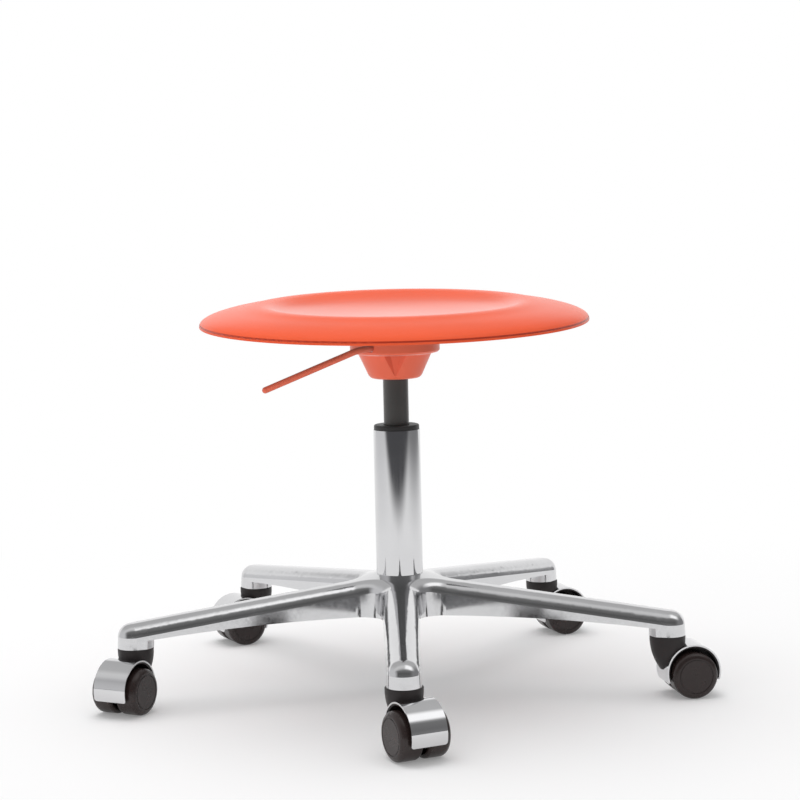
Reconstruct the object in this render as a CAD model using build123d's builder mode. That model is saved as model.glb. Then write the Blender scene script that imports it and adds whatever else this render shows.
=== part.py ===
# Swivel stool: a dished seat on a gas lift, a five arm base and hooded twin wheel castors.
# Millimetres, +Z up. The origin lies on the floor under the column, and the seat faces -Y.
import os
from math import cos, radians, sin, sqrt, tan

from build123d import *

os.makedirs("parts", exist_ok=True)

# Fits
running_fit = 0.05          # radial clearance of pieces that turn or slide in each other
rest_gap = 0.3              # clearance between faces that pass without touching

# Castors
castor_count = 5
trail_angles = (296.0, 10.0, 19.0, 207.0, 243.5)   # where each castor points, seen from above
trail = 23.5                # the axle stands this far behind the swivel axis
wheel_diameter = 50.0
wheel_width = 24.4
wheel_gap = 6.0             # between the two wheels
wheel_edge = 6.0            # rounding of the outer edge
wheel_shoulder = 3.5        # rounding of the inner edge
wheel_wall = 4.0
face_radius = 18.5          # flat disc on the outer face
face_groove = 0.8
wheel_hub = 7.5
axle_diameter = 8.0
hood_radius = 30.0
hood_lift = 3.0             # the hood's centre above the axle
hood_thickness = 1.6
hood_width = 39.0
hood_start = -19.0          # angles about the axle, from the trailing side over the top
hood_end = 203.0
hood_corner = 3.0
liner_thickness = 1.6
liner_setback = 4.0         # degrees, at both ends of the hood
web_thickness = 5.0
strip_angle = 140.0         # where the web passes through the hood into the neck
strip_width = 8.0
strip_depth = 10.0
neck_radius = 19.3
neck_rise = 17.0            # socket rim above the wheels
neck_skirt = 2.5            # straight part at the top of the neck
neck_tip_radius = 8.0
neck_tip_drop = 37.0
stem_diameter = 11.0
stem_reach = 19.0           # up into the arm
stem_depth = 11.0           # down into the neck
stem_bead = 0.7
collar_radius = 12.0
collar_thickness = 3.0
grip_thickness = 0.6
grip_margin = 2.0           # above and below the grip ring

# Five arm base
pivot_radius = 301.0        # castor axes from the column axis
arm_tip = 17.5              # half width of an arm at the castor, at the socket rim
tip_overhang = 1.85         # centre of the arm's round end past the castor axis
socket_radius = 19.8        # socket under the arm, trimmed by the arm's own outline
arm_root = 21.8             # half width of an arm carried to the column axis
arm_draft = 3.0             # degrees
crotch_radius = 22.0
bullnose = 14.5
roof_radius = 40000.0       # slight crown along the top of an arm
hub_height = 57.8           # all heights of the base are above the socket rim
hub_lip = 1.6
flare_radius = 62.0
flare_drop = 6.5
tip_height = 26.75
hub_ring = 31.0
hub_ring_rise = 12.2
hub_skirt = 36.0
underside_hub = 14.2
underside_middle = 16.7
underside_tip = 5.2
roof_thickness = 7.0
pocket_wall = 6.6
pocket_rib = 3.0
pocket_count = 4            # in each arm
pocket_start = 47.0

# Column
tube_radius = 26.0
tube_wall = 2.0
tube_exposed = 161.2        # from the hub to the bush
foot_taper = 1.4            # degrees
foot_plate = 3.0
foot_recess = 5.0           # under the foot plate
bush_length = 76.0
flange_radius = 25.2
flange_thickness = 5.4
cylinder_radius = 14.0
cylinder_wall = 1.4
cylinder_exposed = 51.6     # from the bush to the mechanism
cylinder_length = 213.0
cylinder_cap = 8.0
cone_length = 25.5          # tapered top of the cylinder
cone_draft = 0.7
gland_length = 16.0
gland_lip = 1.5
rod_radius = 5.0
rod_neck = 4.0
piston_length = 12.0
piston_below_seat = 78.2    # piston under the mechanism
nut_height = 5.0

# Thrust bearing at the foot of the rod
ball_count = 10
ball_diameter = 4.0
ball_pitch = 9.5
race_radius = 13.0
race_thickness = 2.0
cage_thickness = 1.6
buffer_height = 9.0
washer_thickness = 1.5
clip_thickness = 1.2

# Mechanism and lever
cover_height = 44.8
cover_wall = 2.2
band_radius = 49.7
band_height = 15.0
band_edge = 2.0
cone_top = 40.4
cone_top_height = 27.1
cone_foot = 30.0
cone_foot_height = 4.3
cone_floor = 24.0
pleat_back = 31.0           # flat back of the pleat from the axis
pleat_half = 5.4
pleat_flare = 0.893         # widening of the pleat per mm outward
plate_thickness = 4.0
socket_wall = 5.0
cup_wall = 3.5
cup_depth = 11.0
lever_angle = 237.0         # seen from above
lever_radius = 3.5
lever_drop = 8.8            # lever axis under the seat pan
lever_tail = 3.0            # past the column axis
lever_bend = 72.7
lever_bend_ease = 9.0
lever_end = (-141.0, -61.0)
lever_end_drop = 41.0
pin_radius = 2.0
pin_station = 30.0
ear_thickness = 3.0
ear_length = 12.0
lever_slot = 9.0
lever_room = 4.7            # between the lever and the top of the cylinder
button_radius = 3.0
button_length = 16.0

# Seat
seat_radius = 215.0
seat_rise = 18.1            # widest ring above the mount plate, on the axis
seat_pitch = 3.0            # degrees, front down
rim_width = 66.5            # from the crest to the widest ring
crest_height = 21.4         # above the widest ring
rim_crown = 0.95            # 1 gives a ridge at the crest and 2 a broad top
rim_nose = 2.4              # 1 gives a sharp rim and 3 a blunt one
rim_edge = 0.6
parting_groove = 0.9        # radius of the fine groove round the rim
parting_inset = 0.5         # in from the widest ring
dish_depth = 17.6
dish_wall = 45.0            # steep part of the dish inside the crest
rim_overhang = 20.4         # of the skin past the pan
pan_sag = 6.5               # the pan hangs lower in the middle than at its edge
pan_thickness = 4.5
pan_rib = 3.0
pan_rib_depth = 6.0
pan_rib_margin = 8.0        # from a rib's end to the pan's knee
pan_rib_count = 10
boss_radius = 54.0
screw_count = 4
screw_circle = 38.0
screw_radius = 3.0
screw_depth = 8.0
screw_head_radius = 5.5
screw_head_height = 4.0
hex_key = 4.0
insert_radius = 4.5
insert_length = 9.0

# Heights that follow from the sizes above
axle_height = wheel_diameter / 2
socket_rim = wheel_diameter + neck_rise
hub_top = socket_rim + hub_height
hub_bottom = socket_rim + hub_ring_rise
tube_top = hub_top + tube_exposed
bush_top = tube_top + flange_thickness
cover_bottom = bush_top + cylinder_exposed
plate_top = cover_bottom + cover_height
plate_bottom = plate_top - plate_thickness
lever_height = plate_top - lever_drop
seat_height = plate_top + seat_rise


def save(part, name):
    """Label a finished piece and write it."""
    part.label = name
    export_step(part, f"parts/{name}.step")


def turned(*points):
    """A solid turned about Z from (radius, height) points."""
    with BuildPart() as form:
        with BuildSketch(Plane.XZ):
            with BuildLine():
                Polyline(*points, close=True)
            make_face()
        revolve(axis=Axis.Z)
    return form.part


def ring(inner, outer, bottom, height):
    """A plain ring or, with no inner radius, a disc."""
    return turned((inner, bottom), (outer, bottom), (outer, bottom + height), (inner, bottom + height))


def placed(form, *locations):
    """Copies of a form at these locations."""
    with BuildPart() as copies:
        with Locations(*locations):
            add(form)
    return copies.part


def shared(edge, faces):
    """Whether one of these faces has this edge."""
    return any(edge.is_same(other) for face in faces for other in face.edges())


# Where the castors stand: the first arm points to the front
arm_angles = [-90 + 360 / castor_count * number for number in range(castor_count)]
pivots = [
    Location((pivot_radius * cos(radians(angle)), pivot_radius * sin(radians(angle)), 0))
    for angle in arm_angles
]
castor_places = [
    pivot * Location((0, 0, 0), (0, 0, heading)) for pivot, heading in zip(pivots, trail_angles)
]

# Solids that trim the base from above and from below
flare_height = hub_top - flare_drop
arm_slope = (flare_height - socket_rim - tip_height) / (pivot_radius - flare_radius)
reach = pivot_radius + 2 * arm_tip
roof_end = flare_height - arm_slope * (reach - flare_radius)
sky = hub_top + arm_tip
ground = socket_rim - arm_tip

with BuildPart() as above:
    with BuildSketch(Plane.XZ):
        with BuildLine():
            crown = RadiusArc((reach, roof_end), (flare_radius, flare_height), -roof_radius)
            TangentArc(
                (flare_radius, flare_height),
                (tube_radius + hub_lip, hub_top),
                tangent=crown % 1,
            )
            Polyline(
                (reach, roof_end),
                (reach, sky),
                (0, sky),
                (0, hub_top),
                (tube_radius + hub_lip, hub_top),
            )
        make_face()
    revolve(axis=Axis.Z)

with BuildPart() as below:
    with BuildSketch(Plane.XZ):
        with BuildLine():
            ThreePointArc(
                (reach, socket_rim + underside_tip),
                ((reach + hub_skirt) / 2 - pocket_wall, socket_rim + underside_middle - pocket_rib / 2),
                (hub_skirt, socket_rim + underside_hub),
            )
            Polyline(
                (hub_skirt, socket_rim + underside_hub),
                (hub_ring, hub_bottom),
                (0, hub_bottom),
                (0, ground),
                (reach, ground),
                (reach, socket_rim + underside_tip),
            )
        make_face()
    revolve(axis=Axis.Z)
    with Locations(*pivots):
        Cylinder(
            socket_radius,
            sky,
            align=(Align.CENTER, Align.CENTER, Align.MIN),
            mode=Mode.SUBTRACT,
        )

# Pockets under the arms, each with a roof that follows the top of the arm
pocket_end = pivot_radius - socket_radius - pocket_rib
pocket_pitch = (pocket_end - pocket_start + pocket_rib) / pocket_count


def pocket_half(radius):
    """Half width of a pocket at this distance from the column axis."""
    return arm_root - (arm_root - arm_tip) * radius / pivot_radius - pocket_wall


with BuildPart() as pockets:
    with BuildSketch(Plane.XY.offset(ground)) as cells:
        with PolarLocations(0, castor_count, start_angle=-90):
            for number in range(pocket_count):
                near = pocket_start + number * pocket_pitch
                far = near + pocket_pitch - pocket_rib
                Polygon(
                    (near, -pocket_half(near)),
                    (far, -pocket_half(far)),
                    (far, pocket_half(far)),
                    (near, pocket_half(near)),
                    align=None,
                )
    extrude(amount=sky - ground)
    with BuildSketch(Plane.XZ):
        Polygon(
            (0, flare_height - roof_thickness),
            (flare_radius, flare_height - roof_thickness),
            (reach, roof_end - roof_thickness),
            (reach, sky),
            (0, sky),
            align=None,
        )
    revolve(axis=Axis.Z, mode=Mode.SUBTRACT)

# Five arm base
foot_height = hub_top - hub_bottom
foot_radius = tube_radius - foot_height * tan(radians(foot_taper))


def foot_outside(height):
    """Outer radius of the tapered foot at this height."""
    return tube_radius - (hub_top - height) * tan(radians(foot_taper))


with BuildSketch() as arm:
    Circle(arm_root)
    with Locations((pivot_radius + tip_overhang, 0)):
        Circle(arm_tip)
    make_hull()
with BuildSketch(Plane.XY.offset(socket_rim)) as star:
    with PolarLocations(0, castor_count, start_angle=-90):
        add(arm.sketch)
    inner_corners = star.vertices().sort_by_distance((0, 0, socket_rim))[:castor_count]
    fillet(inner_corners, crotch_radius)
with BuildPart() as star_base:
    extrude(star.sketch, amount=sky - socket_rim)
    draft(star_base.faces().filter_by(Axis.Z, reverse=True), Plane.XY.offset(socket_rim), arm_draft)
    add(above.part, mode=Mode.SUBTRACT)
    add(below.part, mode=Mode.SUBTRACT)
    roofs = star_base.faces().filter_by(lambda face: face.normal_at().Z > 0.5)
    walls = star_base.faces().filter_by(lambda face: abs(face.normal_at().Z) < 0.2)
    fillet([edge for edge in star_base.edges() if shared(edge, roofs) and shared(edge, walls)], bullnose)
    add(pockets.part, mode=Mode.SUBTRACT)
    # tapered bore for the column
    with BuildSketch(Plane.XZ):
        Polygon(
            (0, hub_bottom - hub_lip),
            (foot_outside(hub_bottom - hub_lip), hub_bottom - hub_lip),
            (foot_outside(hub_top + hub_lip), hub_top + hub_lip),
            (0, hub_top + hub_lip),
            align=None,
        )
    revolve(axis=Axis.Z, mode=Mode.SUBTRACT)
    # sockets for the castor stems
    with Locations(*[pivot * Location((0, 0, socket_rim)) for pivot in pivots]):
        Cylinder(
            stem_diameter / 2 + grip_thickness,
            stem_reach,
            align=(Align.CENTER, Align.CENTER, Align.MIN),
            mode=Mode.SUBTRACT,
        )
        Cylinder(
            collar_radius,
            collar_thickness,
            align=(Align.CENTER, Align.CENTER, Align.MIN),
            mode=Mode.SUBTRACT,
        )
save(star_base.part, "star_base")

# Column tube with a tapered foot and a foot plate
plate_floor = hub_bottom + foot_recess
race_floor = plate_floor + foot_plate
tube_inner = tube_radius - tube_wall
rod_hole = rod_neck + rest_gap
save(
    turned(
        (foot_radius - tube_wall, hub_bottom),
        (foot_radius, hub_bottom),
        (tube_radius, hub_top),
        (tube_radius, tube_top),
        (tube_inner, tube_top),
        (tube_inner, hub_top),
        (foot_outside(race_floor) - tube_wall, race_floor),
        (rod_hole, race_floor),
        (rod_hole, plate_floor),
        (foot_outside(plate_floor) - tube_wall, plate_floor),
    ),
    "column_tube",
)

# Guide bush
bush_bore = cylinder_radius + running_fit
with BuildPart() as guide_bush:
    add(ring(bush_bore, tube_inner, tube_top - bush_length, bush_length))
    add(ring(bush_bore, flange_radius, tube_top, flange_thickness))
    fillet(
        guide_bush.edges().filter_by(GeomType.CIRCLE).group_by(Axis.Z)[-1].sort_by(SortBy.RADIUS)[-1],
        flange_thickness / 3,
    )
    chamfer(
        guide_bush.edges().filter_by(GeomType.CIRCLE).group_by(Axis.Z)[-1].sort_by(SortBy.RADIUS)[0],
        flange_thickness / 6,
    )
save(guide_bush.part, "guide_bush")

# Thrust bearing, from the foot plate upward
ball_height = race_floor + race_thickness + running_fit + ball_diameter / 2
upper_race = ball_height + ball_diameter / 2 + running_fit
buffer_floor = upper_race + race_thickness
washer_floor = buffer_floor + buffer_height
rod_shoulder = washer_floor + washer_thickness
save(ring(rod_hole, race_radius, race_floor, race_thickness), "bearing_lower_race")
save(ring(rod_neck, race_radius, upper_race, race_thickness), "bearing_upper_race")
save(ring(rod_neck, race_radius - 1, buffer_floor, buffer_height), "rubber_buffer")
save(ring(rod_neck, race_radius - 1, washer_floor, washer_thickness), "rod_washer")

with BuildPart() as bearing_balls:
    with Locations((0, 0, ball_height)):
        with PolarLocations(ball_pitch, ball_count):
            Sphere(ball_diameter / 2)
save(bearing_balls.part, "bearing_balls")

with BuildPart() as bearing_cage:
    add(ring(ball_pitch - 3, ball_pitch + 3, ball_height - cage_thickness / 2, cage_thickness))
    with Locations((0, 0, ball_height)):
        with PolarLocations(ball_pitch, ball_count):
            Cylinder(ball_diameter / 2 + running_fit, cage_thickness, mode=Mode.SUBTRACT)
save(bearing_cage.part, "bearing_cage")

# Rod, piston and nut, and the washer and clip that hold the rod in the foot
piston_floor = cover_bottom - piston_below_seat
end_washer = plate_floor - rest_gap - clip_thickness
clip_floor = end_washer - clip_thickness
rod_end = clip_floor - clip_thickness
groove_radius = rod_neck - 0.8
save(
    turned(
        (0, rod_end),
        (rod_neck, rod_end),
        (rod_neck, clip_floor),
        (groove_radius, clip_floor),
        (groove_radius, end_washer),
        (rod_neck, end_washer),
        (rod_neck, rod_shoulder),
        (rod_radius, rod_shoulder),
        (rod_radius, piston_floor),
        (rod_neck, piston_floor),
        (rod_neck, piston_floor + piston_length + nut_height),
        (0, piston_floor + piston_length + nut_height),
    ),
    "piston_rod",
)

bore_radius = cylinder_radius - cylinder_wall
piston_radius = bore_radius - running_fit
ring_floor = piston_floor + piston_length / 3
ring_height = piston_length / 3
save(
    turned(
        (rod_neck, piston_floor),
        (piston_radius, piston_floor),
        (piston_radius, ring_floor),
        (piston_radius - 2, ring_floor),
        (piston_radius - 2, ring_floor + ring_height),
        (piston_radius, ring_floor + ring_height),
        (piston_radius, piston_floor + piston_length),
        (rod_neck, piston_floor + piston_length),
    ),
    "piston",
)
save(ring(piston_radius - 2, piston_radius, ring_floor, ring_height), "piston_seal")

with BuildPart() as piston_nut:
    with BuildSketch(Plane.XY.offset(piston_floor + piston_length)):
        RegularPolygon(2 * rod_neck, 6)
        Circle(rod_neck, mode=Mode.SUBTRACT)
    extrude(amount=nut_height)
save(piston_nut.part, "piston_nut")

with BuildPart() as rod_clip:
    add(ring(rod_neck, 2 * rod_neck, end_washer, clip_thickness))
save(rod_clip.part, "end_washer")

with BuildPart() as retaining_clip:
    with BuildSketch(Plane.XY.offset(clip_floor)):
        Circle(groove_radius + 3)
        Circle(groove_radius, mode=Mode.SUBTRACT)
        with Locations((0, -2 * groove_radius)):
            Rectangle(groove_radius, 4 * groove_radius, mode=Mode.SUBTRACT)
    extrude(amount=clip_thickness)
save(retaining_clip.part, "retaining_clip")

# Gas cylinder with a tapered top
cylinder_top = plate_top - lever_drop - lever_radius - lever_room
cylinder_bottom = cylinder_top - cylinder_length
cone_bottom = cylinder_top - cone_length
gland_floor = cylinder_bottom + gland_lip
button_hole = button_radius + running_fit
save(
    turned(
        (bore_radius - gland_lip, cylinder_bottom),
        (cylinder_radius, cylinder_bottom),
        (cylinder_radius, cone_bottom),
        (cylinder_radius - cone_draft, cylinder_top),
        (button_hole, cylinder_top),
        (button_hole, cylinder_top - cylinder_cap),
        (bore_radius, cylinder_top - cylinder_cap),
        (bore_radius, gland_floor),
        (bore_radius - gland_lip, gland_floor),
    ),
    "gas_cylinder",
)
save(ring(rod_radius + running_fit, bore_radius, gland_floor, gland_length), "cylinder_gland")

# Lever frame: x runs out along the lever, y across it
lever_frame = Plane(
    origin=(0, 0, lever_height),
    x_dir=(cos(radians(lever_angle)), sin(radians(lever_angle)), 0),
    z_dir=(0, 0, 1),
)
pin_frame = Plane(
    origin=lever_frame.from_local_coords(Vector(pin_station, 0, 0)),
    x_dir=(0, 0, 1),
    z_dir=lever_frame.y_dir,
)

# Taper socket with a cup that the lever reaches through
cup_inner = cylinder_radius + 2
cup_outer = cup_inner + cup_wall + rest_gap * 10
cup_floor = plate_bottom - cup_depth
socket_bottom = cover_bottom + cone_foot_height
with BuildPart() as taper_socket:
    add(
        turned(
            (cylinder_radius - cone_draft * (socket_bottom - cone_bottom) / cone_length, socket_bottom),
            (cylinder_radius + socket_wall, socket_bottom),
            (cylinder_radius + socket_wall, cup_floor - cup_wall),
            (cup_outer, cup_floor),
            (cup_outer, plate_bottom),
            (cup_inner, plate_bottom),
            (cup_inner, cup_floor),
            (cylinder_radius - cone_draft, cylinder_top),
        )
    )
    with BuildSketch(lever_frame):
        with Locations((cup_outer / 2, 0)):
            Rectangle(cup_outer, lever_slot)
    extrude(amount=cup_depth, both=True, mode=Mode.SUBTRACT)
save(taper_socket.part, "taper_socket")

# Mount plate with two ears for the lever pin
plate_radius = band_radius - cover_wall
ear_offset = lever_slot / 2 + ear_thickness / 2 + 0.1
with BuildPart() as mount_plate:
    with BuildSketch(Plane.XY.offset(plate_bottom)):
        Circle(plate_radius)
        with PolarLocations(screw_circle, screw_count):
            Circle(screw_radius + rest_gap, mode=Mode.SUBTRACT)
    extrude(amount=plate_thickness)
    with BuildSketch(lever_frame):
        with Locations((pin_station + plate_radius / 2, 0)):
            Rectangle(plate_radius, lever_slot)
    extrude(amount=2 * lever_drop, mode=Mode.SUBTRACT)
    with BuildSketch(lever_frame.offset(plate_bottom - lever_height)):
        with Locations((pin_station, -ear_offset), (pin_station, ear_offset)):
            Rectangle(ear_length, ear_thickness)
    extrude(amount=-(plate_bottom - lever_height + 2.5 * pin_radius))
    with Locations(pin_frame.location):
        Cylinder(pin_radius, 4 * ear_offset, mode=Mode.SUBTRACT)
save(mount_plate.part, "mount_plate")

with BuildPart() as lever_pin:
    with Locations(pin_frame.location):
        Cylinder(pin_radius, 2 * ear_offset + ear_thickness + 1)
save(lever_pin.part, "lever_pin")

# Release lever
lever_start = lever_frame.from_local_coords(Vector(-lever_tail, 0, 0))
lever_knee = lever_frame.from_local_coords(Vector(lever_bend, 0, 0))
lever_tip = Vector(lever_end[0], lever_end[1], lever_height - lever_end_drop)
outer_direction = (lever_tip - lever_knee).normalized()
knee_start = lever_knee - lever_frame.x_dir * lever_bend_ease
knee_end = lever_knee + outer_direction * lever_bend_ease
with BuildPart() as release_lever:
    with BuildLine() as lever_path:
        Line(lever_start, knee_start)
        Spline(knee_start, knee_end, tangents=(lever_frame.x_dir, outer_direction))
        Line(knee_end, lever_tip)
    with BuildSketch(Plane(origin=lever_start, z_dir=lever_frame.x_dir)):
        Circle(lever_radius)
    sweep(path=lever_path.line)
    with Locations(lever_tip):
        Sphere(lever_radius)
    with Locations(pin_frame.location):
        Cylinder(pin_radius + running_fit, 4 * lever_radius, mode=Mode.SUBTRACT)
save(release_lever.part, "release_lever")

button_top = lever_height - lever_radius - rest_gap
save(ring(0, button_radius, button_top - button_length, button_length), "release_button")

# Mechanism cover: a band over a cone with a pleat at the front and at the back
cylinder_hole = cylinder_radius + 3 * rest_gap


def pleat(wall):
    """The cut of a pleat, or with a wall thickness the lump that keeps the shell closed behind it."""
    depth = band_radius
    sections = (
        (cover_bottom + cone_top_height, pleat_half + wall, pleat_back - wall),
        (cover_bottom + cone_foot_height - 0.8, 0.5 + wall, cone_foot - 0.4 - wall),
    )
    with BuildPart() as form:
        for height, half, back in sections:
            far = half + pleat_flare * depth
            with BuildSketch(Plane.XY.offset(height)):
                Polygon((-half, -back), (-far, -back - depth), (far, -back - depth), (half, -back), align=None)
        loft(ruled=True)
    return form.part


front_pleat = pleat(0)
front_lump = pleat(cover_wall)
turn_round = Location((0, 0, 0), (0, 0, 180))
cone_under = cover_bottom + cone_top_height
band_under = plate_top - band_height
flat_depth = sqrt(band_radius**2 - pleat_half**2)
with BuildPart() as cover_room:
    add(
        turned(
            (0, cover_bottom + cover_wall),
            (cone_floor, cover_bottom + cover_wall),
            (cone_foot - cover_wall, cover_bottom + cone_foot_height + cover_wall / 2),
            (cone_top - cover_wall, cone_under + cover_wall),
            (plate_radius, band_under + cover_wall),
            (plate_radius, plate_top),
            (0, plate_top),
        )
    )
    add(front_lump, mode=Mode.SUBTRACT)
    add(turn_round * front_lump, mode=Mode.SUBTRACT)
with BuildPart() as mechanism_cover:
    with BuildSketch(Plane.XZ):
        with BuildLine():
            TangentArc(
                (cone_foot, cover_bottom + cone_foot_height),
                (cone_floor, cover_bottom),
                tangent=(cone_foot - cone_top, cone_foot_height - cone_top_height),
            )
            Polyline(
                (cone_foot, cover_bottom + cone_foot_height),
                (cone_top, cone_under),
                (band_radius - band_edge, band_under - band_edge / 2),
                (band_radius, band_under + band_edge / 2),
                (band_radius, plate_top),
                (cylinder_hole, plate_top),
                (cylinder_hole, cover_bottom),
                (cone_floor, cover_bottom),
            )
        make_face()
    revolve(axis=Axis.Z)
    add(front_pleat, mode=Mode.SUBTRACT)
    add(turn_round * front_pleat, mode=Mode.SUBTRACT)
    add(cover_room.part, mode=Mode.SUBTRACT)
    with Locations((0, -flat_depth, plate_top), (0, flat_depth + band_radius, plate_top)):
        Box(
            band_radius,
            band_radius,
            3 * band_height,
            align=(Align.CENTER, Align.MAX, Align.CENTER),
            mode=Mode.SUBTRACT,
        )
    with BuildSketch(Plane(origin=lever_frame.origin, x_dir=lever_frame.y_dir, z_dir=lever_frame.x_dir)):
        with Locations((0, 1)):
            SlotCenterToCenter(2, lever_slot, rotation=90)
    extrude(amount=2 * band_radius, mode=Mode.SUBTRACT)
save(mechanism_cover.part, "mechanism_cover")

# Seat skin, modelled level and then pitched
pitch = radians(seat_pitch)
seat_frame = Plane(origin=(0, 0, seat_height), x_dir=(1, 0, 0), z_dir=(0, -sin(pitch), cos(pitch)))


crest_radius = seat_radius - rim_width
pan_radius = seat_radius - rim_overhang


def rim_point(share):
    """A point of the rim's top, from the crest at 0 to the widest ring at 1."""
    radius = crest_radius + rim_width * share
    return radius, crest_height * (1 - share**rim_crown) ** (1 / rim_nose)


pan_knee = crest_radius * 0.8
skin_edge = pan_thickness - rim_edge
skin_middle = skin_edge - pan_sag
with BuildPart() as seat_form:
    with BuildSketch(Plane.XZ):
        with BuildLine():
            Spline(
                *[rim_point(share) for share in (0, 0.25, 0.5, 0.75, 0.9, 0.97, 1)],
                tangents=((1, 0), (0, -1)),
            )
            edge = RadiusArc((seat_radius, 0), (seat_radius - rim_edge, -rim_edge), rim_edge)
            Polyline(
                edge @ 1,
                (pan_radius, -rim_edge),
                (pan_radius, skin_edge),
                (pan_knee, skin_middle),
                (0, skin_middle),
                (0, crest_height - dish_depth),
            )
            Spline(
                (crest_radius, crest_height),
                (crest_radius - dish_wall / 2, crest_height - dish_depth * 0.38),
                (crest_radius - dish_wall, crest_height - dish_depth * 0.69),
                (0, crest_height - dish_depth),
                tangents=((-1, 0), (-1, 0)),
            )
        make_face()
    revolve(axis=Axis.Z)
    with BuildSketch(Plane.XZ):
        with Locations(rim_point(1 - parting_inset / rim_width)):
            Circle(parting_groove)
    revolve(axis=Axis.Z, mode=Mode.SUBTRACT)
save(placed(seat_form.part, seat_frame.location), "seat_shell")

# Seat pan with a level boss for the mount plate
pan_rib_start = boss_radius - 2 * pan_rib
pan_rib_end = pan_knee - pan_rib_margin
rib_offset = 180 / pan_rib_count
with BuildPart() as pan_disc:
    add(
        turned(
            (0, skin_middle),
            (pan_knee, skin_middle),
            (pan_radius, skin_edge),
            (pan_radius, skin_edge - pan_thickness),
            (pan_knee, skin_middle - pan_thickness),
            (0, skin_middle - pan_thickness),
        )
    )
    with PolarLocations((pan_rib_end + pan_rib_start) / 2, pan_rib_count, start_angle=rib_offset):
        with Locations((0, 0, skin_middle - pan_thickness / 2)):
            Box(
                pan_rib_end - pan_rib_start,
                pan_rib,
                pan_rib_depth + pan_thickness / 2,
                align=(Align.CENTER, Align.CENTER, Align.MAX),
            )
screw_spots = [
    Location((screw_circle * cos(radians(angle)), screw_circle * sin(radians(angle)), plate_top))
    for angle in (360 / screw_count * number for number in range(screw_count))
]
with BuildPart() as seat_pan:
    add(ring(0, boss_radius, plate_top, 3 * seat_rise))
    with Locations(seat_frame.location):
        add(ring(0, seat_radius, skin_middle - pan_thickness / 2, 4 * seat_rise), mode=Mode.SUBTRACT)
        add(pan_disc.part)
    with Locations(*screw_spots):
        Cylinder(
            insert_radius,
            insert_length,
            align=(Align.CENTER, Align.CENTER, Align.MIN),
            mode=Mode.SUBTRACT,
        )
save(seat_pan.part, "seat_pan")

insert_form = ring(screw_radius, insert_radius, 0, insert_length)
save(placed(insert_form, *screw_spots), "seat_inserts")

with BuildPart() as screw_form:
    add(
        turned(
            (0, -plate_thickness - screw_head_height),
            (screw_head_radius - 1, -plate_thickness - screw_head_height),
            (screw_head_radius, -plate_thickness - screw_head_height + 1),
            (screw_head_radius, -plate_thickness),
            (screw_radius, -plate_thickness),
            (screw_radius, screw_depth),
            (0, screw_depth),
        )
    )
    with BuildSketch(Plane.XY.offset(-plate_thickness - screw_head_height)):
        RegularPolygon(hex_key / 2, 6, major_radius=False)
    extrude(amount=screw_head_height * 0.6, mode=Mode.SUBTRACT)
save(placed(screw_form.part, *screw_spots), "seat_screws")

# Castor stem with a collar in the arm and a bead that snaps into the neck
stem_radius = stem_diameter / 2
neck_top = socket_rim - rest_gap
stem_end = neck_top - stem_depth
bead_height = neck_top - stem_depth / 2


def stem_profile(clearance, top):
    """The part of the stem below the collar, or with a clearance the bore that takes it."""
    radius = stem_radius + clearance
    bead = stem_bead + 0.5
    return (
        (0, stem_end - clearance),
        (radius, stem_end - clearance),
        (radius, bead_height - bead),
        (radius + stem_bead, bead_height),
        (radius, bead_height + bead),
        (radius, top),
    )


collar_top = socket_rim + collar_thickness
stem_form = turned(
    *stem_profile(0, socket_rim),
    (collar_radius, socket_rim),
    (collar_radius, collar_top),
    (stem_radius, collar_top),
    (stem_radius, socket_rim + stem_reach - 1.5),
    (stem_radius - 1, socket_rim + stem_reach - 0.5),
    (0, socket_rim + stem_reach - 0.5),
)

# Split ring that grips the stem in its socket
with BuildPart() as grip_form:
    with BuildSketch(Plane.XY.offset(collar_top + grip_margin)):
        Circle(stem_radius + grip_thickness)
        Circle(stem_radius, mode=Mode.SUBTRACT)
        with Locations((stem_radius, 0)):
            Rectangle(stem_radius, stem_radius / 2, mode=Mode.SUBTRACT)
    extrude(amount=stem_reach - collar_thickness - 2 * grip_margin)
save(placed(grip_form.part, *pivots), "grip_rings")

# Castor pieces, modelled with the swivel axis on Z and the axle along Y
side = Plane(origin=(trail, 0, axle_height), x_dir=(1, 0, 0), z_dir=(0, -1, 0))
hood_side = Plane(origin=(trail, 0, axle_height + hood_lift), x_dir=(1, 0, 0), z_dir=(0, -1, 0))


def band(inner, outer, start, end, width):
    """Part of a ring about the hood's centre."""
    with BuildPart() as form:
        with BuildSketch(hood_side):
            with BuildLine():
                outside = CenterArc((0, 0), outer, start, end - start)
                inside = CenterArc((0, 0), inner, start, end - start)
                Line(outside @ 0, inside @ 0)
                Line(outside @ 1, inside @ 1)
            make_face()
        extrude(amount=width / 2, both=True)
    return form.part


hood_inner = hood_radius - hood_thickness
with BuildPart() as hood_form:
    add(band(hood_inner, hood_radius, hood_start, hood_end, hood_width))
    corners = hood_form.edges().filter_by(lambda edge: abs(edge.length - hood_thickness) < 0.01)
    fillet(corners, hood_corner)
    with BuildSketch(hood_side):
        with PolarLocations(hood_radius, 1, start_angle=strip_angle):
            Rectangle(4 * hood_thickness, strip_width)
    extrude(amount=web_thickness / 2, both=True, mode=Mode.SUBTRACT)

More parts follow.
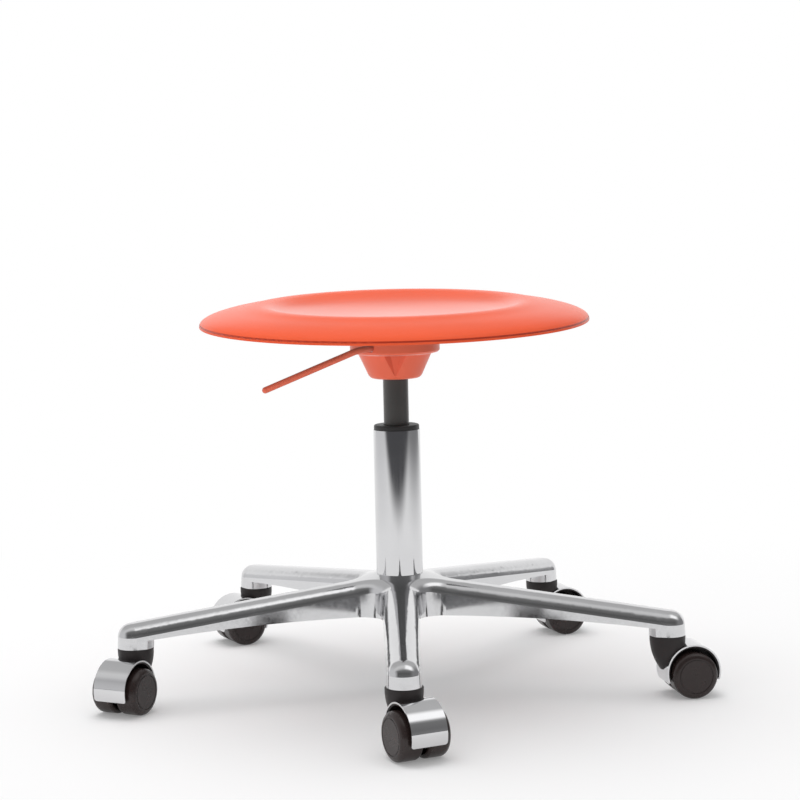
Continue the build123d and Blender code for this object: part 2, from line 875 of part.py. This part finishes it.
liner_inner = hood_inner - liner_thickness
liner_start = hood_start + liner_setback
liner_end = hood_end - liner_setback
with BuildPart() as body_form:
    with BuildSketch(Plane.XZ):
        with BuildLine():
            Polyline(
                (neck_tip_radius, neck_top - neck_tip_drop),
                (0, neck_top - neck_tip_drop),
                (0, neck_top),
                (neck_radius - 0.8, neck_top),
                (neck_radius, neck_top - 0.8),
                (neck_radius, neck_top - neck_skirt),
            )
            TangentArc(
                (neck_radius, neck_top - neck_skirt),
                (neck_tip_radius, neck_top - neck_tip_drop),
                tangent=(0, -1),
            )
        make_face()
    revolve(axis=Axis.Z)
    add(turned(*stem_profile(running_fit, neck_top), (0, neck_top)), mode=Mode.SUBTRACT)
    with BuildSketch(hood_side):
        Circle(hood_radius)
    extrude(amount=hood_width, both=True, mode=Mode.SUBTRACT)
    add(band(liner_inner, hood_inner, liner_start, liner_end, hood_width - 2))
    add(band(wheel_hub / 2, hood_inner - liner_thickness / 2, liner_start, liner_end, web_thickness))
    with BuildSketch(side):
        Circle(wheel_hub)
    extrude(amount=web_thickness / 2, both=True)
    with BuildSketch(hood_side):
        with PolarLocations(hood_radius - 1, 1, start_angle=strip_angle):
            Rectangle(strip_depth, strip_width)
    extrude(amount=web_thickness / 2, both=True)
    with BuildSketch(side):
        Circle(axle_diameter / 2)
    extrude(amount=web_thickness, both=True, mode=Mode.SUBTRACT)

# Axle and wheel, modelled about Z from the middle of the castor outward
wheel_radius = wheel_diameter / 2
wheel_inner = wheel_gap / 2
wheel_outer = wheel_inner + wheel_width
axle_half = wheel_outer - wheel_wall
axle_radius = axle_diameter / 2
axle_form = turned(
    (0, -axle_half),
    (axle_radius - 0.6, -axle_half),
    (axle_radius, -axle_half + 0.6),
    (axle_radius, axle_half - 0.6),
    (axle_radius - 0.6, axle_half),
    (0, axle_half),
)
rim_inner = wheel_radius - wheel_wall
wheel_bore = axle_radius + running_fit
with BuildPart() as wheel_form:
    with BuildSketch(Plane.XZ):
        with BuildLine():
            Line((wheel_radius, wheel_outer - wheel_edge), (wheel_radius, wheel_inner + wheel_shoulder))
            TangentArc(
                (wheel_radius, wheel_inner + wheel_shoulder),
                (wheel_radius - wheel_shoulder, wheel_inner),
                tangent=(0, -1),
            )
            Polyline(
                (wheel_radius - wheel_shoulder, wheel_inner),
                (rim_inner, wheel_inner),
                (rim_inner, wheel_outer - wheel_edge),
                (wheel_hub, wheel_outer - wheel_edge),
                (wheel_hub, wheel_inner),
                (wheel_bore, wheel_inner),
                (wheel_bore, axle_half + rest_gap),
                (0, axle_half + rest_gap),
                (0, wheel_outer),
                (face_radius - face_groove, wheel_outer),
                (face_radius - face_groove, wheel_outer - face_groove),
                (face_radius, wheel_outer - face_groove),
                (face_radius, wheel_outer),
                (wheel_radius - wheel_edge, wheel_outer),
            )
            TangentArc(
                (wheel_radius - wheel_edge, wheel_outer),
                (wheel_radius, wheel_outer - wheel_edge),
                tangent=(1, 0),
            )
        make_face()
    revolve(axis=Axis.Z)

wheel_places = {
    "a": Plane(origin=side.origin, x_dir=(1, 0, 0), z_dir=(0, 1, 0)).location,
    "b": Plane(origin=side.origin, x_dir=(1, 0, 0), z_dir=(0, -1, 0)).location,
}
for number, (pivot, place) in enumerate(zip(pivots, castor_places), start=1):
    save(placed(stem_form, pivot), f"castor_stem_{number}")
    save(placed(body_form.part, place), f"castor_body_{number}")
    save(placed(hood_form.part, place), f"castor_hood_{number}")
    save(placed(axle_form, place * wheel_places["a"]), f"castor_axle_{number}")
    for letter, wheel_place in wheel_places.items():
        save(placed(wheel_form.part, place * wheel_place), f"castor_wheel_{number}{letter}")
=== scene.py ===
"""Looks of a swivel stool: coral moulded seat, bright column, polished star base and hooded castors."""
import math

import bpy
from mathutils import Matrix, Vector

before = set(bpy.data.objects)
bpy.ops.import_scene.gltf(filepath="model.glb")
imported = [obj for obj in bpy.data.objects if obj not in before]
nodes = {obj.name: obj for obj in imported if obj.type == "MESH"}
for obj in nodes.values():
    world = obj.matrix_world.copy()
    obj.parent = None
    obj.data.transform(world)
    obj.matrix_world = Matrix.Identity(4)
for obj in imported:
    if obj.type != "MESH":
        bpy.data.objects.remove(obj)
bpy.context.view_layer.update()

# Camera, in metres and degrees: fitted to the column, the castor sockets and the wheels
CAMERA_PLACE = (-0.0130, -2.2774, 0.5405)
CAMERA_TURN = -0.44
CAMERA_TILT = 5.5755
CAMERA_ROLL = 1.2722
CAMERA_LENS = 92.8
CAMERA_REACH = 60

# Studio floor: a white sweep round the stool that glows more and more towards its edge
WHITE = (1.0, 1.0, 1.0)
FLOOR_HALF = 14.0
FLOOR_WHITE = (0.93, 0.93, 0.93)
FLOOR_GLOW = 0.16
GLOW_REACH = (0.25, 1.1)
# Where the sweep ends towards the camera, how softly, and the floor's tones past it
SWEEP_END = -1.34
SWEEP_SOFT = 0.34
FLOOR_DARK = (0.06, 0.06, 0.06)
ROOM_DARK = (0.085, 0.085, 0.09)
# Tones that mirrors see at the sides, and where these start and change over on the floor and in the room
LEFT_GREY = (0.76, 0.76, 0.77)
RIGHT_GREY = (0.26, 0.26, 0.265)
FLOOR_ASIDE = (0.8, 2.4)
FLOOR_MIDDLE = (-0.5, 0.5)
ROOM_ASIDE = (0.6, 0.95)
ROOM_MIDDLE = (-0.3, 0.3)
# Even light of the room on all that isn't a mirror
SOFT_LIGHT = (0.63, 0.63, 0.635)
# What mirrors see: degrees from the camera's side over the ceiling to the back wall, and the tone there
ROOM_TONES = (
    (0, 0.22), (11, 0.15), (20, 0.115), (40, 0.18), (52, 0.22), (60, 0.46), (70, 0.75),
    (84, 0.80), (100, 0.60), (140, 0.56), (180, 0.7),
)
# Bank of lights overhead, to the right: angles where it starts and ends, its reach sideways, and its tone
BANK_START = (math.radians(58), math.radians(70))
BANK_END = (math.radians(102), math.radians(86))
BANK_SIDE = (0.0, 0.25)
BANK_WHITE = (1.4, 1.4, 1.4)
# White card behind the stool that only mirrors see: place, half width, and the heights where it fades
CARD_PLACE = 1.6
CARD_HALF = 3.0
CARD_FADE = (0.95, 1.35)
# Lamps: name, place, aim, width, depth and power
LAMPS = (
    ("key", (-0.25, 0.35, 2.4), (0, 0.05, 0.3), 2.2, 2.2, 34),
    ("fill", (-0.9, -2.2, 0.12), (0, 0, 0.36), 2.0, 0.4, 16),
)

# Plastics and metals: scales of their slow changes, how far the tone and the gloss change, and bump depths
CLOUD_SCALE = 9.0
CLOUD_RANGE = (0.35, 0.65)
CLOUD_DARK = 0.96
GLOSS_SCALE = 60.0
GLOSS_RANGE = (0.3, 0.7)
GLOSS_CHANGE = (0.88, 1.12)
GRAIN_DEPTH = 0.0004
MARK_SCALE = 300.0
MARK_GRAIN = 0.03
MARK_DEPTH = 0.0002
MARK_RANGE = (0.1, 0.4)
MARK_CHANGE = (0.75, 1.3)
SMEAR_SCALE = 14.0
SMEAR_RANGE = (0.3, 0.7)
SMEAR_DARK = 0.94
NOISE_ROUGHNESS = 0.55

CORAL = (0.86, 0.112, 0.040)
# The cover's coral is a lighter copy of the seat's coral: painted light, in place of the light from the
# floor and the front that falls on the cover
COVER_LIT_CORAL = (0.92, 0.165, 0.088)
# The lever's coral is a lighter, paler copy of the seat's coral: painted light on the lever, which stands in
# the seat's shade
LEVER_LIT_CORAL = (0.80, 0.165, 0.095)
# Seat: grain, the radii between which the dish becomes the rim, and the gloss in the dish and on the rim
SEAT_GRAIN_SCALE = 1400.0
SEAT_GRAIN = 0.012
DISH_EDGE = (0.105, 0.150)
SEAT_ROUGHNESS = (0.18, 0.26)
SEAT_MIRROR = (1.0, 0.10)
# Painted shade along the parting line round the rim: the seat's height and pitch, and the line's height,
# half width, reach and the tone of the painted shade
SEAT_HEIGHT = 0.40593
SEAT_PITCH = math.radians(3.0)
PARTING_HEIGHT = 0.00273
PARTING_HALF = (0.0012, 0.0008)
PARTING_REACH = (0.2115, 0.2125)
PARTING_SHADE_TONE = (0.50, 0.052, 0.022)


def make_camera():
    """A camera at the photograph's place, tilt and roll."""
    data = bpy.data.cameras.new("camera")
    data.lens = CAMERA_LENS
    data.clip_end = CAMERA_REACH
    camera = bpy.data.objects.new("camera", data)
    turn = Matrix.Rotation(math.radians(CAMERA_TURN), 4, "Z")
    tilt = Matrix.Rotation(math.radians(90 - CAMERA_TILT), 4, "X")
    roll = Matrix.Rotation(math.radians(-CAMERA_ROLL), 4, "Z")
    camera.matrix_world = Matrix.Translation(CAMERA_PLACE) @ turn @ tilt @ roll
    bpy.context.scene.collection.objects.link(camera)
    bpy.context.scene.camera = camera


class Maker:
    """Builds a node tree with short calls."""

    def __init__(self, tree):
        self.tree = tree
        tree.nodes.clear()

    def node(self, kind, **settings):
        """A node with attributes from settings; names of sockets map to values or links in inputs."""
        inputs = settings.pop("inputs", {})
        made = self.tree.nodes.new(kind)
        for name, value in settings.items():
            setattr(made, name, value)
        for name, value in inputs.items():
            self.set(made.inputs[name], value)
        return made

    def set(self, socket, value):
        """Links a socket to an output, or sets its value."""
        if isinstance(value, bpy.types.NodeSocket):
            self.tree.links.new(value, socket)
        else:
            socket.default_value = value

    def math(self, operation, first, second=0.0):
        """One Math node's output."""
        made = self.node("ShaderNodeMath", operation=operation)
        self.set(made.inputs[0], first)
        self.set(made.inputs[1], second)
        return made.outputs[0]

    def ramp(self, value, low, high, out_low=0.0, out_high=1.0, smooth=True):
        """A value moved from one range to another, held at the ends."""
        made = self.node(
            "ShaderNodeMapRange",
            interpolation_type="SMOOTHSTEP" if smooth else "LINEAR",
            inputs={"From Min": low, "From Max": high, "To Min": out_low, "To Max": out_high},
        )
        self.set(made.inputs["Value"], value)
        return made.outputs["Result"]

    def mix(self, factor, first, second):
        """A colour between two colours, each given as three numbers or as a link."""
        made = self.node("ShaderNodeMix", data_type="RGBA")
        self.set(made.inputs["Factor"], factor)
        for socket, colour in ((6, first), (7, second)):
            self.set(made.inputs[socket], (*colour, 1) if isinstance(colour, tuple) else colour)
        return made.outputs[2]

    def blend(self, factor, first, second):
        """A shader between two shaders."""
        inputs = {0: factor, 1: first.outputs[0], 2: second.outputs[0]}
        return self.node("ShaderNodeMixShader", inputs=inputs)


def make_world():
    """White to the camera, a studio with a dark room to mirrors, and even light to the rest."""
    world = bpy.data.worlds.new("studio")
    bpy.context.scene.world = world
    world.use_nodes = True
    m = Maker(world.node_tree)
    direction = m.node("ShaderNodeTexCoord").outputs["Generated"]
    parts = m.node("ShaderNodeSeparateXYZ", inputs={"Vector": direction})
    round_room = m.math("ARCTAN2", parts.outputs["Z"], m.math("MULTIPLY", parts.outputs["Y"], -1.0))
    share = m.ramp(round_room, 0.0, math.pi, smooth=False)
    tones = m.node("ShaderNodeValToRGB", inputs={"Fac": share})
    stops = tones.color_ramp.elements
    while len(stops) < len(ROOM_TONES):
        stops.new(1.0)
    for stop, (angle, tone) in zip(stops, ROOM_TONES):
        stop.position = angle / 180
        stop.color = (tone, tone, tone, 1)
    band = m.math("MULTIPLY", m.ramp(round_room, *BANK_START), m.ramp(round_room, *BANK_END))
    bank = m.math("MULTIPLY", band, m.ramp(parts.outputs["X"], *BANK_SIDE))
    overhead = m.mix(bank, tones.outputs["Color"], BANK_WHITE)
    aside = m.ramp(m.math("ABSOLUTE", parts.outputs["X"]), *ROOM_ASIDE)
    side = m.mix(m.ramp(parts.outputs["X"], *ROOM_MIDDLE), LEFT_GREY, RIGHT_GREY)
    mirrored = m.mix(aside, overhead, side)
    path = m.node("ShaderNodeLightPath")
    seen = m.mix(path.outputs["Is Glossy Ray"], SOFT_LIGHT, mirrored)
    seen = m.mix(path.outputs["Is Camera Ray"], seen, WHITE)
    background = m.node("ShaderNodeBackground", inputs={"Color": seen, "Strength": 1.0})
    out = m.node("ShaderNodeOutputWorld")
    m.set(out.inputs["Surface"], background.outputs[0])


def make_floor():
    """A white sweep that fades into the backdrop: dark in mirrors towards the camera, clear from below."""
    bpy.ops.object.select_all(action="DESELECT")
    bpy.ops.mesh.primitive_plane_add(size=2 * FLOOR_HALF, location=(0, 0, 0))
    floor = bpy.context.object
    floor.name = "floor"
    material, m = new_material("sweep")
    place = m.node("ShaderNodeTexCoord").outputs["Object"]
    parts = m.node("ShaderNodeSeparateXYZ", inputs={"Vector": place})
    distance = m.node("ShaderNodeVectorMath", operation="LENGTH", inputs={0: place}).outputs["Value"]
    path = m.node("ShaderNodeLightPath")
    behind = m.ramp(parts.outputs["Y"], SWEEP_END + SWEEP_SOFT, SWEEP_END - SWEEP_SOFT)
    dark = m.math("MULTIPLY", behind, m.math("SUBTRACT", 1.0, path.outputs["Is Camera Ray"]))
    looked_at = m.math("MAXIMUM", path.outputs["Is Camera Ray"], path.outputs["Is Glossy Ray"])
    lit = m.math("MULTIPLY", m.ramp(distance, *GLOW_REACH, FLOOR_GLOW, 1.0), looked_at)
    tone = m.mix(dark, FLOOR_WHITE, FLOOR_DARK)
    aside = m.ramp(m.math("ABSOLUTE", parts.outputs["X"]), *FLOOR_ASIDE)
    side = m.mix(m.ramp(parts.outputs["X"], *FLOOR_MIDDLE), LEFT_GREY, RIGHT_GREY)
    white = m.mix(m.math("MULTIPLY", aside, path.outputs["Is Glossy Ray"]), WHITE, side)
    glow = m.mix(dark, white, ROOM_DARK)
    matt = m.node("ShaderNodeBsdfDiffuse", inputs={"Color": tone})
    bright = m.node("ShaderNodeEmission", inputs={"Color": glow, "Strength": 1.0})
    under = m.node("ShaderNodeNewGeometry").outputs["Backfacing"]
    clear = m.node("ShaderNodeBsdfTransparent")
    finish_material(m, m.blend(under, m.blend(lit, matt, bright), clear))
    floor.data.materials.append(material)


def make_card():
    """A white card behind the stool, for reflections alone."""
    top = CARD_FADE[1]
    bpy.ops.object.select_all(action="DESELECT")
    upright = (math.pi / 2, 0, 0)
    bpy.ops.mesh.primitive_plane_add(size=1, location=(0, CARD_PLACE, top / 2), rotation=upright)
    card = bpy.context.object
    card.name = "card"
    card.scale = (2 * CARD_HALF, top, 1)
    material, m = new_material("card_white")
    place = m.node("ShaderNodeNewGeometry").outputs["Position"]
    height = m.node("ShaderNodeSeparateXYZ", inputs={"Vector": place}).outputs["Z"]
    glow = m.node("ShaderNodeEmission", inputs={"Color": (*WHITE, 1), "Strength": 1.0})
    clear = m.node("ShaderNodeBsdfTransparent")
    finish_material(m, m.blend(m.ramp(height, *CARD_FADE), glow, clear))
    card.data.materials.append(material)
    card.visible_camera = card.visible_diffuse = card.visible_shadow = False


def make_lights():
    """Large soft lamps that mirrors don't show."""
    for name, place, aim, width, depth, power in LAMPS:
        data = bpy.data.lights.new(name, "AREA")
        data.shape = "RECTANGLE"
        data.size = width
        data.size_y = depth
        data.energy = power
        lamp = bpy.data.objects.new(name, data)
        lamp.location = place
        lamp.rotation_euler = (Vector(aim) - Vector(place)).to_track_quat("-Z", "Y").to_euler()
        lamp.visible_glossy = False
        bpy.context.scene.collection.objects.link(lamp)


def new_material(name):
    """An empty material and its maker."""
    material = bpy.data.materials.new(name)
    material.use_nodes = True
    return material, Maker(material.node_tree)


def finish_material(m, shader):
    """Joins a shader to the material's output."""
    out = m.node("ShaderNodeOutputMaterial")
    m.set(out.inputs["Surface"], shader.outputs[0])


def noise(m, scale, detail=3.0, stretch=(1, 1, 1)):
    """Noise over the piece's own place."""
    place = m.node("ShaderNodeTexCoord").outputs["Object"]
    mapped = m.node("ShaderNodeMapping", inputs={"Vector": place, "Scale": stretch})
    made = m.node(
        "ShaderNodeTexNoise",
        inputs={"Vector": mapped.outputs[0], "Scale": scale, "Detail": detail, "Roughness": NOISE_ROUGHNESS},
    )
    return made.outputs["Fac"]


def clouded(m, colour):
    """A colour with slow changes of tone."""
    dark = tuple(CLOUD_DARK * c for c in colour)
    return m.mix(m.ramp(noise(m, CLOUD_SCALE), *CLOUD_RANGE), dark, colour)


def bump(m, height, strength, distance):
    """A bump from a height."""
    made = m.node("ShaderNodeBump", inputs={"Height": height, "Strength": strength, "Distance": distance})
    return made.outputs[0]


def moulded(name, colour, roughness, grain_scale, grain, mirror=0.5):
    """Moulded plastic: a fine grain and slight changes of tone and gloss."""
    material, m = new_material(name)
    least, most = (roughness * change for change in GLOSS_CHANGE)
    shader = m.node(
        "ShaderNodeBsdfPrincipled",
        inputs={
            "Base Color": clouded(m, colour),
            "Roughness": m.ramp(noise(m, GLOSS_SCALE), *GLOSS_RANGE, least, most),
            "Normal": bump(m, noise(m, grain_scale, 2.0), grain, GRAIN_DEPTH),
            "Specular IOR Level": mirror,
        },
    )
    finish_material(m, shader)
    return material


def seat_skin(name, colour):
    """Moulded skin with a satin rim, a dish that use has polished, and painted shade along the parting line.
    """
    material, m = new_material(name)
    place = m.node("ShaderNodeTexCoord").outputs["Object"]
    parts = m.node("ShaderNodeSeparateXYZ", inputs={"Vector": place})
    flat = m.node("ShaderNodeCombineXYZ", inputs={"X": parts.outputs["X"], "Y": parts.outputs["Y"]})
    length = m.node("ShaderNodeVectorMath", operation="LENGTH", inputs={0: flat.outputs[0]})
    radius = length.outputs["Value"]
    rise = m.math("SUBTRACT", parts.outputs["Z"], SEAT_HEIGHT)
    along = m.math("MULTIPLY", parts.outputs["Y"], math.sin(SEAT_PITCH))
    height = m.math("SUBTRACT", m.math("MULTIPLY", rise, math.cos(SEAT_PITCH)), along)
    # Painted shade: a darker band of tone along the parting-line groove round the rim
    off_line = m.math("ABSOLUTE", m.math("SUBTRACT", height, PARTING_HEIGHT))
    line = m.math("MULTIPLY", m.ramp(off_line, *PARTING_HALF), m.ramp(radius, *PARTING_REACH))
    shader = m.node(
        "ShaderNodeBsdfPrincipled",
        inputs={
            "Base Color": m.mix(line, clouded(m, colour), PARTING_SHADE_TONE),
            "Roughness": m.ramp(radius, *DISH_EDGE, *SEAT_ROUGHNESS),
            "Normal": bump(m, noise(m, SEAT_GRAIN_SCALE, 2.0), SEAT_GRAIN, GRAIN_DEPTH),
            "Specular IOR Level": m.ramp(radius, *DISH_EDGE, *SEAT_MIRROR),
        },
    )
    finish_material(m, shader)
    return material


def metal(name, colour, roughness, stretch=(1, 1, 1)):
    """Bright metal with polishing marks drawn out along one direction."""
    material, m = new_material(name)
    marks = noise(m, MARK_SCALE, 4.0, stretch)
    smears = noise(m, SMEAR_SCALE)
    least, most = (roughness * change for change in MARK_CHANGE)
    gloss = m.ramp(m.math("MULTIPLY", marks, smears), *MARK_RANGE, least, most)
    dark = tuple(SMEAR_DARK * c for c in colour)
    shader = m.node(
        "ShaderNodeBsdfPrincipled",
        inputs={
            "Base Color": m.mix(m.ramp(smears, *SMEAR_RANGE), dark, colour),
            "Metallic": 1.0,
            "Roughness": gloss,
            "Normal": bump(m, marks, MARK_GRAIN, MARK_DEPTH),
        },
    )
    finish_material(m, shader)
    return material


def paint(material, *names):
    """Gives CAD nodes a material."""
    for name in names:
        data = nodes[name].data
        data.materials.clear()
        data.materials.append(material)


def matching(prefix):
    """Names of the CAD nodes that start with this."""
    return [name for name in nodes if name.startswith(prefix)]


make_camera()
make_world()
make_floor()
make_card()
make_lights()

# Plastics: name, colour, roughness, scale and strength of the grain, and mirror level. Metals: name, colour,
# roughness and the stretch of their marks
seat_coral = seat_skin("seat_coral", CORAL)
# Painted light: the cover's coral is a lighter copy of the seat's coral
cover_lit_coral = moulded("cover_lit_coral", COVER_LIT_CORAL, 0.36, 1400.0, 0.03, 0.3)
# Painted light: the lever's coral is a lighter, paler copy of the seat's coral
lever_coral = moulded("lever_coral", LEVER_LIT_CORAL, 0.45, 1500.0, 0.03, 0.25)
aluminium = metal("polished_aluminium", (0.67, 0.67, 0.68), 0.12)
chrome = metal("bright_chrome", (0.68, 0.68, 0.69), 0.06, (1, 1, 0.06))
cylinder_grey = moulded("cylinder_grey", (0.052, 0.050, 0.047), 0.32, 600.0, 0.08, 0.6)
bush_black = moulded("bush_black", (0.018, 0.017, 0.017), 0.45, 1200.0, 0.10)
pan_black = moulded("pan_black", (0.022, 0.020, 0.019), 0.5, 1200.0, 0.12)
castor_black = moulded("castor_black", (0.016, 0.012, 0.012), 0.48, 1200.0, 0.12, 0.4)
wheel_grey = moulded("wheel_grey", (0.023, 0.015, 0.014), 0.28, 1200.0, 0.05, 0.4)
steel = metal("plain_steel", (0.56, 0.56, 0.57), 0.28)
brass = metal("insert_brass", (0.70, 0.50, 0.20), 0.25)
rubber = moulded("black_rubber", (0.02, 0.02, 0.02), 0.7, 900.0, 0.15)

paint(steel, *nodes)
paint(seat_coral, "seat_shell")
paint(cover_lit_coral, "mechanism_cover")
paint(pan_black, "seat_pan")
paint(lever_coral, "release_lever")
paint(aluminium, "star_base")
paint(chrome, "column_tube", *matching("castor_hood"))
paint(cylinder_grey, "gas_cylinder")
paint(bush_black, "guide_bush", "bearing_cage")
paint(castor_black, *matching("castor_body"))
paint(wheel_grey, *matching("castor_wheel"))
paint(brass, "seat_inserts")
paint(rubber, "rubber_buffer", "piston_seal")
# Mirrors don't show these pieces, because the photographed base holds no red. The thin dark streaks
# that it has by the hub are lost with them
for name in ("seat_shell", "seat_pan", "mechanism_cover", "release_lever"):
    nodes[name].visible_glossy = False

bpy.context.scene.view_settings.view_transform = "Standard"
